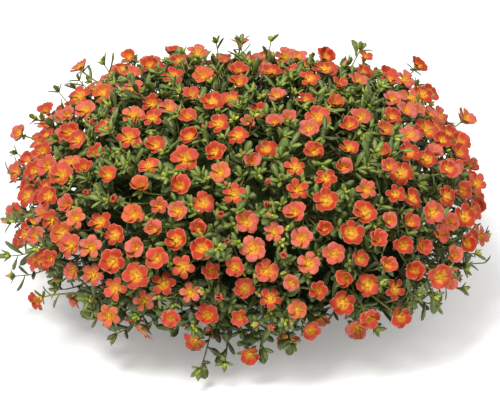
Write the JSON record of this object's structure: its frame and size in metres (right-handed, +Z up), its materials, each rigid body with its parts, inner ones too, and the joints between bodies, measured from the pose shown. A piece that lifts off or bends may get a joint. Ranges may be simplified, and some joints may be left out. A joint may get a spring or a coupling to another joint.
{
  "type": "flowering portulaca plant",
  "caption": "Wide cushion-shaped mound of small fleshy leaves covered in open coral blooms on thin stalks, cut at its crown to rest on a flat surface.",
  "frame": {"origin": "middle of the crown's flat cut, where the plant meets the surface it rests on", "axes": "+X along the mound's longest side, +Y towards its back as pictured, +Z up"},
  "size_m": [0.4789, 0.4314, 0.2245],
  "materials": {
    "petal": "satin",
    "stamen": "matte",
    "stalk": "satin",
    "leaf": "satin",
    "bud": "satin",
    "stump": "matte"
  },
  "bodies": {
    "root": {"crown": "stump", "leafy_stems_top": "leaf", "leafy_stems_high_01": "leaf", "leafy_stems_high_02": "leaf", "leafy_stems_high_03": "leaf", "leafy_stems_high_04": "leaf", "leafy_stems_high_05": "leaf", "leafy_stems_high_06": "leaf", "leafy_stems_low_01": "leaf", "leafy_stems_low_02": "leaf", "leafy_stems_low_03": "leaf", "leafy_stems_low_04": "leaf", "leafy_stems_low_05": "leaf", "leafy_stems_low_06": "leaf", "leafy_stems_low_07": "leaf", "leafy_stems_low_08": "leaf", "leafy_stems_low_09": "leaf", "leafy_stems_low_10": "leaf", "leafy_stems_low_11": "leaf", "leafy_stems_low_12": "leaf", "bloom_spray_01": "petal", "bloom_spray_02": "petal", "bloom_spray_03": "petal", "bloom_spray_04": "petal", "bloom_spray_05": "petal", "bloom_spray_06": "petal", "bloom_spray_07": "petal", "bloom_spray_08": "petal", "bloom_spray_09": "petal", "bloom_spray_10": "petal", "bloom_spray_11": "petal", "bloom_spray_12": "petal", "bloom_spray_13": "petal", "bloom_spray_14": "petal", "bloom_spray_15": "petal", "bloom_spray_16": "petal", "bloom_spray_17": "petal", "bloom_spray_18": "petal", "bloom_spray_19": "petal", "bloom_spray_20": "petal", "bloom_spray_21": "petal", "bloom_spray_22": "petal", "bloom_spray_23": "petal", "bloom_spray_24": "petal", "bloom_spray_25": "petal", "bloom_spray_26": "petal", "bloom_spray_27": "petal", "bloom_spray_28": "petal", "bloom_spray_29": "petal", "bloom_spray_30": "petal", "bloom_spray_31": "petal", "bloom_spray_32": "petal", "bloom_spray_33": "petal", "bloom_spray_34": "petal", "bloom_spray_35": "petal", "bloom_spray_36": "petal", "bloom_spray_37": "petal", "bloom_spray_38": "petal", "bloom_spray_39": "petal", "bloom_spray_40": "petal"}
  },
  "joints": []
}
